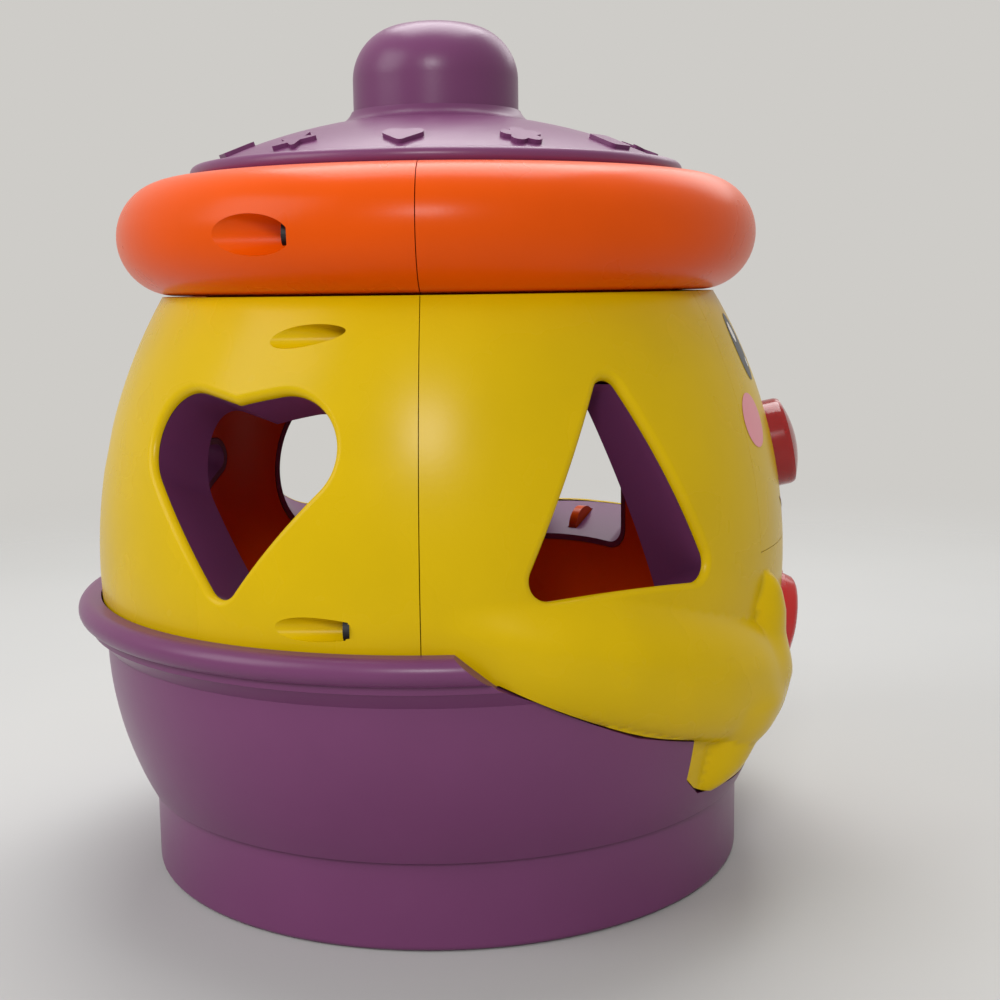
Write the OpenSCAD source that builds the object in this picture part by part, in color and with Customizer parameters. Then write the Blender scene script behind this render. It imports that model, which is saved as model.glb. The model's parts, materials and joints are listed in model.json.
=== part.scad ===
// Shape sorter cookie jar: a moulded plastic jar with five shape holes, a lift-off lid, press buttons
// and a sound unit.
// Millimetres, +Z up, front towards -Y, origin at the middle of the foot on the floor.

/* [Base] */
// Radius of the foot
foot_r = 90.5; // [86:0.5:96]
// Height of the foot up to the step under the bowl
foot_h = 25; // [20:0.5:30]
// Thickness of the foot wall
foot_wall = 4; // [3:0.5:6]
// Rounding of the foot's lower edge
foot_round = 1.5; // [0.5:0.1:2]
// Radius of the arc that the bowl's side follows
bowl_arc = 100; // [80:1:140]
// Wall of the bowl
bowl_wall = 2.6; // [2:0.1:3.5]
// Radius of the collar's rounded bead
bead_r = 3.6; // [2.5:0.1:4.5]
// Height of the collar above the seat of the body
collar_h = 9.3; // [8:0.1:12]
// Height of the seat on which the body stands
seat_z = 74; // [70:0.5:78]

/* [Body] */
// Radius of the body at its widest
body_r = 104.1; // [100:0.1:110]
// Height at which the body is widest
body_mid_z = 92; // [88:0.5:96]
// Radius of the arc that the body's side follows
body_arc = 153.5; // [140:0.5:180]
// Height of the body's top edge
body_top_z = 170.2; // [168:0.1:176]
// Wall of the body shells
wall = 2.4; // [1.8:0.1:3]
// Gap at the seam between front and rear halves
seam_gap = 0.25; // [0.1:0.05:0.4]
// Half width of the face panel, as an angle from the front
face_half = 29; // [26:0.5:31]
// Lower edge of the face panel
face_z0 = 98; // [95:0.5:102]

/* [Ring] */
// Radius of the middle of the ring's tube
ring_r = 78.5; // [77:0.1:81]
// Radius of the ring's tube
ring_tube = 16.5; // [15:0.1:18]
// Wall of the ring
ring_wall = 2.4; // [1.8:0.1:3]
// Radius of the mouth
mouth_r = 66.5; // [64:0.1:68]
// Height of the lid's flat seat above the middle of the ring
lid_seat_h = 13; // [12:0.1:13.5]

/* [Lid] */
// Radius of the lid's rim
lid_r = 73.3; // [72:0.1:75]
// Radius of the lid's bead
lid_bead = 2.2; // [1.8:0.1:2.4]
// Radius of the sphere that the lid follows
lid_arc = 162; // [150:1:180]
// Depth of the plug below the lid's seat
plug_depth = 11; // [8:0.5:16]
// Radius of the knob
knob_r = 24.7; // [20:0.1:28]
// Height of the knob above its seat
knob_h = 26.2; // [22:0.1:30]
// Number of raised motifs round the lid
motif_count = 12; // [8:1:12]
// Width of a raised motif
motif_w = 11; // [8:0.5:13]
// Height of a raised motif
motif_h = 1.1; // [0.6:0.1:1.6]

/* [Holes and sleeves] */
// Angle by which the sleeves slope down towards the inside
slope = 22.5; // [18:0.5:25]
// Height of the middle of the holes
hole_z = 121; // [118:0.5:124]
// Wall of the sleeves
sleeve_wall = 1.8; // [1.4:0.1:2.4]
// Inner radius of the liner
liner_r = 80; // [78:0.5:81]
// Wall of the liner
liner_wall = 2; // [1.6:0.1:2.6]
// Height of the liner's floor
floor_z = 45.6; // [44:0.2:50]
// Height at which the liner starts to draw in to the mouth
shoulder_z = 147; // [145:0.5:150]

/* [Triggers] */
// Thickness of a trigger fin
fin_t = 3; // [2:0.2:4]
// Radius of a trigger fin's rounded top
fin_r = 7.5; // [6.5:0.1:8]
// Height of a trigger fin above its sill
fin_rise = 4; // [3:0.1:4.5]
// Travel of a trigger fin
fin_travel = 3.6; // [2.5:0.1:4]

/* [Buttons] */
// Diameter of the nose
nose_d = 26.8; // [22:0.2:30]
// Height of the nose's middle
nose_z = 123; // [120:0.5:127]
// Height of the nose above the face
nose_rise = 8; // [6:0.2:10]
// Travel of the nose and of the heart button
press = 2.5; // [1.5:0.1:3]
// Width of the heart button
heart_w = 50; // [44:0.5:54]
// Height of the heart button
heart_h = 54; // [48:0.5:55]
// Height of the heart button's middle
heart_z = 58.5; // [57:0.5:60]
// Height of the heart button above the belly
heart_rise = 4.4; // [3:0.2:6]
// Tilt of the heart button, downwards
heart_tilt = 7; // [4:0.5:9]

/* [Sound unit] */
// Diameter of a battery
cell_d = 14.2; // [13.8:0.1:14.5]
// Length of a battery
cell_l = 49; // [48:0.1:50.5]
// Diameter of the speaker
speaker_d = 40; // [32:1:44]
// Thickness of the circuit boards
board_t = 1.6; // [1:0.1:2]
// Travel of the power switch
switch_travel = 5; // [3:0.5:6]

/* [Fits] */
// Clearance between pieces that sit in each other
fit = 0.3; // [0.2:0.05:0.4]
// Clearance round pieces that slide
slide = 0.4; // [0.3:0.05:0.6]
// Diameter of the screws
screw_d = 2.9; // [2.5:0.1:3.2]

/* [Hidden] */
$fn = 96;

yellow = [0.86, 0.70, 0.02];
orange = [0.93, 0.36, 0.03];
purple = [0.44, 0.22, 0.40];
red = [0.72, 0.08, 0.08];
dark = [0.12, 0.12, 0.13];
steel = [0.72, 0.73, 0.75];
green = [0.10, 0.36, 0.18];
pale = [0.85, 0.85, 0.82];

// Reach of cutting blocks, larger than the jar
far = 320;
// Overlap that joins two shapes of one piece
weld = 0.5;

// Radius of the body's outside at a height
function body_at(z) = body_r - body_arc + sqrt(body_arc * body_arc - (z - body_mid_z) * (z - body_mid_z));

// Bowl: its widest radius continues the body's foot, just under the seat
bowl_r = body_at(seat_z);
bowl_mid_z = seat_z - 4;
function bowl_at(z) = bowl_r - bowl_arc + sqrt(bowl_arc * bowl_arc - (z - bowl_mid_z) * (z - bowl_mid_z));
function front_at(z) = z > seat_z ? body_at(z) : z > bowl_mid_z ? bowl_r : bowl_at(z);

collar_in = body_r + fit;
collar_top = seat_z + collar_h;
bead_mid_r = collar_in + bead_r - 0.6;
ledge_in = body_at(seat_z) - wall - 1.2;

ring_z = body_top_z + fit + ring_tube;
lid_seat_z = ring_z + lid_seat_h;
lid_rim_z = lid_seat_z + 5.5;
lid_rim_in = lid_r - lid_bead;
lid_mid_z = lid_rim_z + 0.4 * lid_bead - sqrt(lid_arc * lid_arc - lid_rim_in * lid_rim_in);
function lid_at(r) = lid_mid_z + sqrt(lid_arc * lid_arc - r * r);
seat_r = lid_rim_in - 0.8;
knob_seat_z = lid_at(knob_r) + 2.8;
knob_top_z = knob_seat_z + knob_h;

// Plate under the base
plate_z = 1.2;
plate_t = 2.4;
plate_top = plate_z + plate_t;
plate_r = foot_r - foot_wall - fit;
ledge_w = 7.5;
ledge_t = 2.6;
base_screw_r = plate_r - 4;
base_screw_angles = [45, 135, 225, 315];
base_boss_top = 16;
head_d = 5.6;
// Air under a screw head, so that it only just clears its seat
head_air = 0.05;
head_h = 0.9;

// Ribs of the bowl that carry the liner, clear of the front
rib_angles = [82, 118, 160, 200, 242, 278];
rib_in = 78;
rib_t = 3;
rib_h = 14;
liner_flange_r = liner_r + 4;
liner_arc = 600;
liner_lift = 0.2;
liner_half = (shoulder_z - floor_z) / 2;
function liner_edge(inset) = liner_r + liner_wall - liner_arc
  + sqrt((liner_arc - inset) * (liner_arc - inset) - liner_half * liner_half);
liner_top_z = ring_z - sqrt(ring_tube * ring_tube - (ring_r - mouth_r - liner_wall) * (ring_r - mouth_r - liner_wall)) - fit;

// Screws that draw the halves together run front to back: [x, z, pocket radius, pocket floor y, boss
// radius]
body_screw_low = [body_r - 3.7, 89, 3.05, 17.5, 3.6];
body_screw_high = [body_at(160.3) - 5.4, 160.3, 3.05, 16.5, 3.6];
ring_screw_at = [ring_r + 5.9, ring_z - 1.4, 5.25, 32, 4];
screw_reach = 12;

// Outlines are lists of [x, y, corner radius], anticlockwise; a radius of 0 marks an inward corner
function triangle_outline() = [[-22.9, -21.5, 5], [22.9, -21.5, 5], [0, 25.5, 3.5]];
function heart_outline(w, top, bottom, lobe, tip, cleft) = [
  [0, bottom + tip, tip], [w / 2 - lobe, top - lobe, lobe], [0, top - cleft, 0],
    [lobe - w / 2, top - lobe, lobe]
];
function star_outline(r, inner, tip, mid) = [
  for (i = [0 : 9])
    let (a = -90 + 36 * i, odd = i % 2 == 1)
    [(odd ? r - tip : inner) * cos(a), mid + (odd ? r - tip : inner) * sin(a), odd ? tip : 0]
];
function square_outline(half, corner, mid) = [
  for (s = [[-1, -1], [1, -1], [1, 1], [-1, 1]])
    [s.x * (half - corner), mid + s.y * (half - corner), corner]
];

// Shape holes: [angle from the front towards the left side, outline, height of the sill's middle, drop
// of the trigger]
HOLES = [
  [60, triangle_outline(), -26.5, 0],
  [120, heart_outline(59.6, 26.8, -25.1, 14, 5, 3.4), -25.1, 0],
  [180, star_outline(30, 13.5, 4, -1.2), -14.7, 3.5],
  [240, [[0, -1, 25.5]], -26.5, 0],
  [300, square_outline(23.5, 5.5, -3), -26.5, 0]
];
hole_r = body_at(hole_z);
// Middle of the fins, as a radius of the jar
fin_mid_r = 90.5;
fin_w = 2 * sqrt(fin_r * fin_r - (fin_r - fin_rise) * (fin_r - fin_rise));
fin_slot_l = fin_w + 2 * slide;
flange_l = fin_w + 2;
flange_t = 1.5;
flange_w = fin_t + 3.4;
dome_h = fin_travel + 1;
// Depths below the sill: under the flange, top of the board
flange_low = sleeve_wall + fit + flange_t;
fin_board_top = flange_low + dome_h;
fin_board_w = 15;
fin_board_l = 11;
fin_post_r = 1.8;
fin_post_x = 5.4;
function fin_depth(i) = (fin_mid_r - hole_r + HOLES[i][2] * sin(slope)) / cos(slope);

nose_r0 = body_at(nose_z);
nose_tilt = asin((nose_z - body_mid_z) / body_arc);
heart_r0 = front_at(heart_z);
guide_depth = 8;
button_wall = 2;
// Buttons: depths behind the skin of the flange, the domes and the board
button_flange_t = 1.5;
button_dome_h = press + 1.2;
button_board_top = guide_depth + fit + button_flange_t + button_dome_h;
button_post_r = 2.6;
nose_post_x = 21;
heart_post = [[-30, 18], [30, 18], [-17, -19], [17, -19]];
heart_shape = heart_outline(heart_w, heart_h / 2, -heart_h / 2, 13, 5, 4);

// Line of the arm's and hand's lower edge: [angle from the front, height]
ARM_LINE = [
  [85.7, 84], [79.6, 75.2], [70.9, 67], [58, 56.7], [46.1, 51.4], [45.8, 39.6], [41.4, 33.6],
    [27.4, 30.9], [0, 29]
];
// Arm, thumb and finger sections: [angle from the front, height, bulge, half size]
ARM = [
  [87, 90, 0.8, 4], [80, 86, 3.6, 9.5], [71, 81.5, 7, 14.6], [62, 77.5, 9, 17.2],
    [53, 72.8, 10, 18], [44, 68.4, 10.4, 18],
  [35, 64.5, 10, 17.6], [27, 61.5, 8.6, 16.4], [20, 60, 6.4, 12.5], [16, 59.5, 4, 7.5], [14.5, 59.3, 1.5, 3]
];
THUMB = [[26.5, 91, 2.6, 2.8], [26.2, 87.4, 4.6, 6], [25.6, 80.6, 6, 9.4], [25.2, 71.3, 6.6, 12],
  [25.2, 62, 6, 12]];
FINGER = [[34, 58, 8, 14], [34.5, 48, 7.4, 13.6], [36, 40, 6.4, 11], [38, 35.4, 4.6, 7],
  [39.4, 33.2, 2, 2.6]];
SECTION_SIDES = 16;
// Depth of the sections' middles below the skin
sunk = 0.4;
// Turn of each short edge where a round corner is edged, in degrees
corner_step = 7.5;

// Building blocks

function unit(a) = [cos(a), sin(a)];
function edge_normal(a, b) = atan2(b.y - a.y, b.x - a.x) - 90
  + asin((a[2] - b[2]) / norm([b.x - a.x, b.y - a.y]));
function blob_points(v, grow) = [
  for (i = [0 : len(v) - 1])
    let (
      c = v[i],
      n1 = unit(edge_normal(v[(i + len(v) - 1) % len(v)], c)),
      n2 = unit(edge_normal(c, v[(i + 1) % len(v)])),
      at = [c.x, c.y]
    )
    each (c[2] > 0 ? [at + (c[2] + grow) * n1, at + (c[2] + grow) * n2]
      : [at + grow * (n1 + n2) / (1 + n1 * n2)])
];

// The same outline with each round corner drawn as a few short edges
function corner_turn(v, i) = edge_normal(v[i], v[(i + 1) % len(v)])
  - edge_normal(v[(i + len(v) - 1) % len(v)], v[i]);
function edged_points(v, step, grow = 0) = [
  for (i = [0 : len(v) - 1])
    let (
      at = [v[i].x, v[i].y],
      a = edge_normal(v[(i + len(v) - 1) % len(v)], v[i]),
      n1 = unit(a),
      n2 = unit(edge_normal(v[i], v[(i + 1) % len(v)])),
      turn = (corner_turn(v, i) + 720) % 360,
      edges = ceil(turn / step)
    )
    each (
      v[i][2] > 0 ? [for (k = [0 : edges]) at + (v[i][2] + grow) * unit(a + turn * k / edges)]
      : [at + grow * (n1 + n2) / (1 + n1 * n2)]
    )
];

// Outline with round corners, grown all round
module blob(v, grow = 0) {
  if (len(v) > 1) polygon(blob_points(v, grow));
  for (c = v) {
    if (c[2] > 0) translate([c.x, c.y]) circle(c[2] + grow);
  }
}

module prism(v, grow, z0, z1) {
  translate([0, 0, z0]) linear_extrude(z1 - z0) blob(v, grow);
}

// The same with its round corners edged, for curved walls; one circle stays a true circle
module edged_prism(v, grow, z0, z1) {
  translate([0, 0, z0]) linear_extrude(z1 - z0) {
    if (len(v) > 1) polygon(edged_points(v, corner_step, grow));
    else blob(v, grow);
  }
}

// Half profile of the body, from the axis out, with its wall set in
module body_profile(inset, z0, z1) {
  intersection() {
    translate([body_r - body_arc, body_mid_z]) circle(body_arc - inset, $fn = 180);
    translate([0, z0]) square([body_r + 1, z1 - z0]);
  }
}

// Half profile of the bowl up to a height
module bowl_profile(inset, z0, z1) {
  intersection() {
    union() {
      intersection() {
        translate([bowl_r - bowl_arc, bowl_mid_z]) circle(bowl_arc - inset, $fn = 180);
        square([bowl_r + 1, bowl_mid_z]);
      }
      translate([0, bowl_mid_z]) square([bowl_r - inset, seat_z - bowl_mid_z]);
    }
    translate([0, z0]) square([bowl_r + 1, z1 - z0]);
  }
}

// Half profile of the front half: body above, belly in line with the bowl below
module front_profile(inset) {
  body_profile(inset, seat_z, body_top_z + 1);
  bowl_profile(inset, foot_h + 1, seat_z);
}

module ring_profile(inset) {
  intersection() {
    translate([ring_r, ring_z]) circle(ring_tube - inset);
    translate([mouth_r + inset, ring_z - ring_tube])
      square([2 * ring_tube, ring_tube + lid_seat_h - inset]);
  }
  intersection() {
    translate([ring_r, ring_z]) circle(ring_tube - inset);
    translate([seat_r, ring_z]) square(2 * ring_tube);
  }
}

// Turns a front-facing shape to an angle from the front
module at_angle(a) {
  rotate([0, 0, -a]) children();
}

module both_sides() {
  children();
  mirror([1, 0, 0]) children();
}

// Frame of a hole: outwards along the sleeve, upwards across it
module at_hole(i) {
  at_angle(HOLES[i][0]) translate([0, -hole_r, hole_z]) rotate([90 - slope, 0, 0]) children();
}

module at_nose() {
  translate([0, -nose_r0, nose_z]) rotate([90 - nose_tilt, 0, 0]) children();
}

module at_heart() {
  translate([0, -heart_r0, heart_z]) rotate([90 + heart_tilt, 0, 0]) children();
}

// Cylinder that runs from front to back
module along_y(x, z, r, y0, y1) {
  translate([x, y1, z]) rotate([90, 0, 0]) cylinder(r = r, h = y1 - y0);
}

module keep_side(front) {
  translate([-far / 2, front ? -far : seam_gap / 2, -1]) cube([far, far - (front ? seam_gap / 2 : 0), far]);
}

// Prism across the jar from points seen from the side
module side_prism(points) {
  translate([-far / 2, 0, 0]) rotate([90, 0, 90]) linear_extrude(far) polygon(points);
}

function arm_line(drop) = [for (p = ARM_LINE) [-front_at(p[1]) * cos(p[0]), p[1] - drop]];

// What lies under the arm line, below the front half's lower edge
module below_arms(drop) {
  side_prism(concat([[far, -1], [far, seat_z], [arm_line(drop)[0].x, seat_z]],
    [for (i = [1 : len(ARM_LINE) - 1]) arm_line(drop)[i]],
    [[-far, ARM_LINE[len(ARM_LINE) - 1][1] - drop], [-far, -1]]));
}

// What lies above the arm line, which the bowl leaves free
module above_arms(drop) {
  side_prism(concat([[arm_line(drop)[0].x + drop, far]], [[arm_line(drop)[0].x + drop, ARM_LINE[0][1]]],
    [for (i = [1 : len(ARM_LINE) - 1]) arm_line(drop)[i]],
      [[-far, ARM_LINE[len(ARM_LINE) - 1][1] - drop], [-far, far]]));
}

function arm_ring(s, less) = [
  for (j = [0 : SECTION_SIDES - 1])
    let (t = 360 * j / SECTION_SIDES, r = front_at(s[1]) - sunk + (s[2] + sunk - less) * cos(t))
    [-r * sin(s[0]), -r * cos(s[0]), s[1] + (s[3] - less) * sin(t)]
];
function digit_ring(s, less) = [
  for (j = [0 : SECTION_SIDES - 1])
    let (
      t = -360 * j / SECTION_SIDES,
      r = front_at(s[1]) - sunk + (s[2] + sunk - less) * cos(t),
      w = (s[3] - less) * sin(t)
    )
    [-r * sin(s[0]) - w * cos(s[0]), -r * cos(s[0]) + w * sin(s[0]), s[1]]
];
function mean(ring) = [for (k = [0 : 2]) [for (p = ring) p[k]] * [for (p = ring) 1] / len(ring)];

// Closed skin over a row of rings
module skin(rings) {
  n = SECTION_SIDES;
  last = len(rings) - 1;
  points = concat([for (r = rings) each r], [mean(rings[0]), mean(rings[last])]);
  sides = [
    for (i = [0 : last - 1], j = [0 : n - 1])
      let (a = i * n + j, b = i * n + (j + 1) % n)
      each [[a, b, b + n], [a, b + n, a + n]]
  ];
  first_cap = [for (j = [0 : n - 1]) [(j + 1) % n, j, len(points) - 2]];
  last_cap = [for (j = [0 : n - 1]) [last * n + j, last * n + (j + 1) % n, len(points) - 1]];
  polyhedron(points, concat(sides, first_cap, last_cap));
}

module arm(less = 0) {
  stations = [for (s = ARM) if (s[2] > less + 1 || less == 0) s];
  skin([for (s = stations) arm_ring(s, less)]);
}

module digit(stations, less = 0) {
  thick = [for (s = stations) if (s[2] > less + 1 || less == 0) s];
  skin([for (s = thick) digit_ring(s, less)]);
}

module screw(d, length, head) {
  translate([0, 0, -head / 2]) cylinder(d = d, h = length + head / 2);
  translate([0, 0, -head]) cylinder(d = head_d, h = head);
}

// Base

module bowl_wall_profile() {
  difference() {
    union() {
      bowl_profile(0, foot_h, seat_z);
      translate([0, foot_round]) square([foot_r, foot_h + bowl_wall - foot_round]);
      square([foot_r - foot_round, foot_h]);
      translate([foot_r - foot_round, foot_round]) circle(foot_round);
      polygon([[ledge_in, seat_z - bowl_wall], [bowl_r, seat_z - bead_r - 1],
        [bead_mid_r, seat_z + 0.4], [ledge_in, seat_z + 0.4]]);
      translate([ledge_in, seat_z]) square([bead_mid_r - ledge_in, collar_h]);
      translate([bead_mid_r, collar_top - bead_r]) circle(bead_r);
    }
    bowl_profile(bowl_wall, foot_h + bowl_wall, seat_z - bowl_wall);
    square([foot_r - foot_wall, foot_h + bowl_wall + weld]);
    translate([0, seat_z - bowl_wall - weld]) square([ledge_in, collar_h]);
    translate([0, seat_z]) square([collar_in, collar_h + weld]);
  }
}

module base_bowl() {
  color(purple) difference() {
    union() {
      both_sides() difference() {
        rotate([0, 0, 90]) rotate_extrude(angle = 180) bowl_wall_profile();
        above_arms(fit + 0.1);
      }
      rotate_extrude() translate([plate_r - ledge_w, plate_top])
        square([ledge_w + 2 * fit + weld, ledge_t]);
      for (a = base_screw_angles) {
        at_angle(a) translate([0, -base_screw_r, plate_top]) cylinder(r = 4, h = base_boss_top - plate_top);
      }
      intersection() {
        rotate_extrude() bowl_profile(bowl_wall / 2, foot_h, seat_z);
        for (a = rib_angles) {
          at_angle(a) translate([-rib_t / 2, -far, floor_z - rib_h]) cube([rib_t, far - rib_in, rib_h]);
        }
      }
    }
    for (a = base_screw_angles) {
      at_angle(a) translate([0, -base_screw_r, 0]) cylinder(d = screw_d + 0.2, h = base_boss_top - 2);
    }
  }
}

cell_gap = 1.2;
box_wall = 1.6;
box_l = cell_l + 20;
box_w = 3 * cell_d + 4 * cell_gap;
box_h = cell_d + 2;
cell_x = -box_l / 2 + 4 + cell_l / 2;
door_boss_x = box_l / 2 - 5;
speaker_y = plate_r - ledge_w - speaker_d / 2 - 1;
board_y = -55;
board_size = [56, 32];
board_z = plate_top + 6.4;
switch_at = [-56, 8];
switch_size = [16, 9, 6];

module base_plate() {
  color(purple) difference() {
    union() {
      translate([0, 0, plate_z]) cylinder(r = plate_r, h = plate_t);
      for (x = [-1, 1], y = [-1, 1]) {
        translate([x * (board_size.x / 2 - 4), board_y + y * (board_size.y / 2 - 4), plate_top - weld])
          cylinder(r = 2.6, h = board_z - plate_top + weld);
      }
    }
    translate([-box_l / 2, -box_w / 2, 0]) cube([box_l, box_w, 10]);
    for (a = base_screw_angles) {
      at_angle(a) translate([0, -base_screw_r, 0]) cylinder(d = screw_d + 0.5, h = 10);
    }
    for (k = [0 : 2], i = [0 : max(6 * k, 1) - 1]) {
      translate([5 * k * cos(60 * i / max(k, 1)), speaker_y + 5 * k * sin(60 * i / max(k, 1)), 0])
        cylinder(d = 2.4, h = 10, $fn = 24);
    }
    translate([switch_at.x - 2 - slide, switch_at.y - 1.5 - slide, 0])
      cube([4 + switch_travel + 2 * slide, 3 + 2 * slide, 10]);
  }
}

module base_screws() {
  color(steel) for (a = base_screw_angles) {
    at_angle(a) translate([0, -base_screw_r, plate_z - head_air]) screw(screw_d, base_boss_top - 4, head_h);
  }
}

module battery_box() {
  color(dark) difference() {
    translate([-box_l / 2 - box_wall, -box_w / 2 - box_wall, plate_top])
      cube([box_l + 2 * box_wall, box_w + 2 * box_wall, box_h + box_wall]);
    difference() {
      translate([-box_l / 2, -box_w / 2, plate_top - 1]) cube([box_l, box_w, box_h + 1]);
      translate([door_boss_x, 0, plate_top]) cylinder(r = 4, h = box_h + weld);
    }
    translate([door_boss_x, 0, 0]) cylinder(d = screw_d + 0.2, h = plate_top + box_h - 2);
  }
}

module batteries() {
  color([0.75, 0.55, 0.2]) for (i = [-1 : 1]) {
    translate([cell_x, i * (cell_d + cell_gap), plate_top + fit + cell_d / 2])
      rotate([0, i == 0 ? 90 : -90, 0]) {
      translate([0, 0, -cell_l / 2]) cylinder(d = cell_d, h = cell_l - 1.2);
      translate([0, 0, cell_l / 2 - 1.2 - weld]) cylinder(d = 5.4, h = 1.2 + weld);
    }
  }
}

module battery_contacts() {
  color(steel) for (i = [-1 : 1], s = [-1, 1]) {
    spring = (i == 0) == (s == -1);
    x0 = cell_x + s * (cell_l / 2 + fit);
    end = s < 0 ? -box_l / 2 + fit : x0 + 4;
    translate([x0, i * (cell_d + cell_gap), plate_top + fit + cell_d / 2]) rotate([0, s * 90, 0]) {
      cylinder(d1 = spring ? 5 : 6, d2 = spring ? 9 : 6, h = abs(end - x0) - 0.4);
      translate([-5.5, -5.5, abs(end - x0) - 0.5]) cube([11, 11, 0.5]);
    }
  }
  color(steel) translate([cell_x + cell_l / 2 + fit + 4 + fit, -box_w / 2 + fit, plate_top + box_h - 9])
    cube([1, box_w - 2 * fit, 9 - fit]);
}

module battery_door() {
  color(purple) difference() {
    translate([-box_l / 2 + fit, -box_w / 2 + fit, plate_z])
      cube([box_l - 2 * fit, box_w - 2 * fit, plate_t - 0.1]);
    translate([door_boss_x, 0, 0]) cylinder(d = screw_d + 0.5, h = 10);
    for (i = [-2 : 2]) {
      translate([-box_l / 2 + 6 + 2.4 * (i + 2), -box_w / 4, plate_z - 1]) cube([1.2, box_w / 2, 1.6]);
    }
  }
}

module battery_door_screw() {
  color(steel) translate([door_boss_x, 0, plate_z - head_air]) screw(screw_d, plate_t + 10, head_h);
}

module main_board() {
  color(green) translate([0, board_y, board_z]) linear_extrude(board_t)
    square(board_size, center = true);
}

module board_components() {
  color(dark) translate([0, board_y, board_z + board_t]) {
    intersection() {
      translate([0, 0, -7]) sphere(10);
      translate([-10, -10, 0]) cube(20);
    }
    for (x = [-18, 18]) translate([x, 6, 0]) cylinder(r = 3.2, h = 7);
    translate([14, -12, 0]) cube([10, 6, 2]);
  }
}

module speaker() {
  color(dark) translate([0, speaker_y, plate_top]) difference() {
    union() {
      cylinder(d = speaker_d, h = 3.2);
      translate([0, 0, 3.2 - weld]) cylinder(d1 = speaker_d - 5, d2 = speaker_d / 2 + 2, h = 5 + weld);
      translate([0, 0, 8.2 - weld]) cylinder(d = speaker_d / 2, h = 5);
    }
    translate([0, 0, -1]) cylinder(d1 = speaker_d - 5, d2 = speaker_d / 2 - 4, h = 6);
  }
}

module power_switch_body() {
  color(dark) difference() {
    translate([switch_at.x + switch_travel / 2 - switch_size.x / 2, switch_at.y - switch_size.y / 2, plate_top]) cube(switch_size);
    translate([switch_at.x - 2 - slide, switch_at.y - 1.5 - slide, plate_top - 1])
      cube([4 + switch_travel + 2 * slide, 3 + 2 * slide, switch_size.z - 0.6]);
  }
}

module power_switch_knob() {
  color(orange) union() {
    translate([switch_at.x - 2, switch_at.y - 1.5, 0.6]) cube([4, 3, plate_top + 2.6]);
    translate([switch_at.x - 4.5, switch_at.y - 3, 0.15]) cube([9, 6, plate_z - 0.15 - 0.25]);
  }
}

// Body

module screw_boss(s, front, length) {
  x = s[0];
  y = front ? -length : seam_gap / 2;
  both_sides() along_y(x, s[1], s[4], y, front ? -seam_gap / 2 : length);
}

module body_trim(inset) {
  rotate_extrude() body_profile(inset, seat_z, body_top_z);
}

module body_shell_rear() {
  color(yellow) difference() {
    union() {
      rotate_extrude(angle = 180) difference() {
        body_profile(0, seat_z, body_top_z);
        body_profile(wall, seat_z - 1, body_top_z + 1);
      }
      intersection() {
        body_trim(wall / 2);
        union() {
          for (s = [body_screw_low, body_screw_high]) {
            screw_boss(s, false, s[3]);
            both_sides() along_y(s[0], s[1], s[2] + 1.6, s[3] - 2, far / 2);
          }
        }
      }
    }
    for (i = [1 : 3]) at_hole(i) edged_prism(HOLES[i][1], 0, -12, 30);
    for (s = [body_screw_low, body_screw_high]) {
      both_sides() along_y(s[0], s[1], s[2], s[3], far / 2);
      both_sides() along_y(s[0], s[1], screw_d / 2 + 0.2, -1, s[3] + 1);
    }
    translate([-far / 2, -seam_gap / 2, 0]) cube([far, seam_gap, far]);
  }
}

module face_wedge(half, z0, z1) {
  rotate([0, 0, 270 - half]) rotate_extrude(angle = 2 * half) translate([liner_r, z0])
    square([40, z1 - z0]);
}

module body_shell_front() {
  color(yellow) difference() {
    union() {
      difference() {
        union() {
          rotate([0, 0, 180]) rotate_extrude(angle = 180) intersection() {
            front_profile(0);
            square([far, body_top_z]);
          }
          both_sides() {
            arm();
            digit(THUMB);
            digit(FINGER);
          }
        }
        rotate_extrude() front_profile(wall);
        both_sides() arm(wall);
        below_arms(0);
      }
      intersection() {
        body_trim(wall / 2);
        for (s = [body_screw_low, body_screw_high]) screw_boss(s, true, screw_reach + 4);
      }
      intersection() {
        rotate_extrude() front_profile(wall / 2);
        at_heart() union() {
          edged_prism(heart_shape, slide + 2, -guide_depth, 4);
          for (p = heart_post) translate([p.x, p.y, -button_board_top])
            cylinder(r = button_post_r, h = button_board_top);
        }
      }
    }
    for (i = [0, 4]) at_hole(i) edged_prism(HOLES[i][1], 0, -12, 40);
    at_heart() edged_prism(heart_shape, slide, -guide_depth - 1, 30);
    face_wedge(face_half, face_z0, body_top_z + 1);
    for (s = [body_screw_low, body_screw_high]) {
      both_sides() along_y(s[0], s[1], screw_d / 2 + 0.1, -screw_reach - 1, 1);
    }
    translate([-far / 2, -seam_gap / 2, 0]) cube([far, far, far]);
  }
}

module body_screws() {
  color(steel) for (s = [body_screw_low, body_screw_high]) {
    both_sides() translate([s[0], s[3] + head_air, s[1]]) rotate([90, 0, 0])
      screw(screw_d, s[3] + screw_reach - 1, 1.6);
  }
}

face_play = 0.2;

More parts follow.
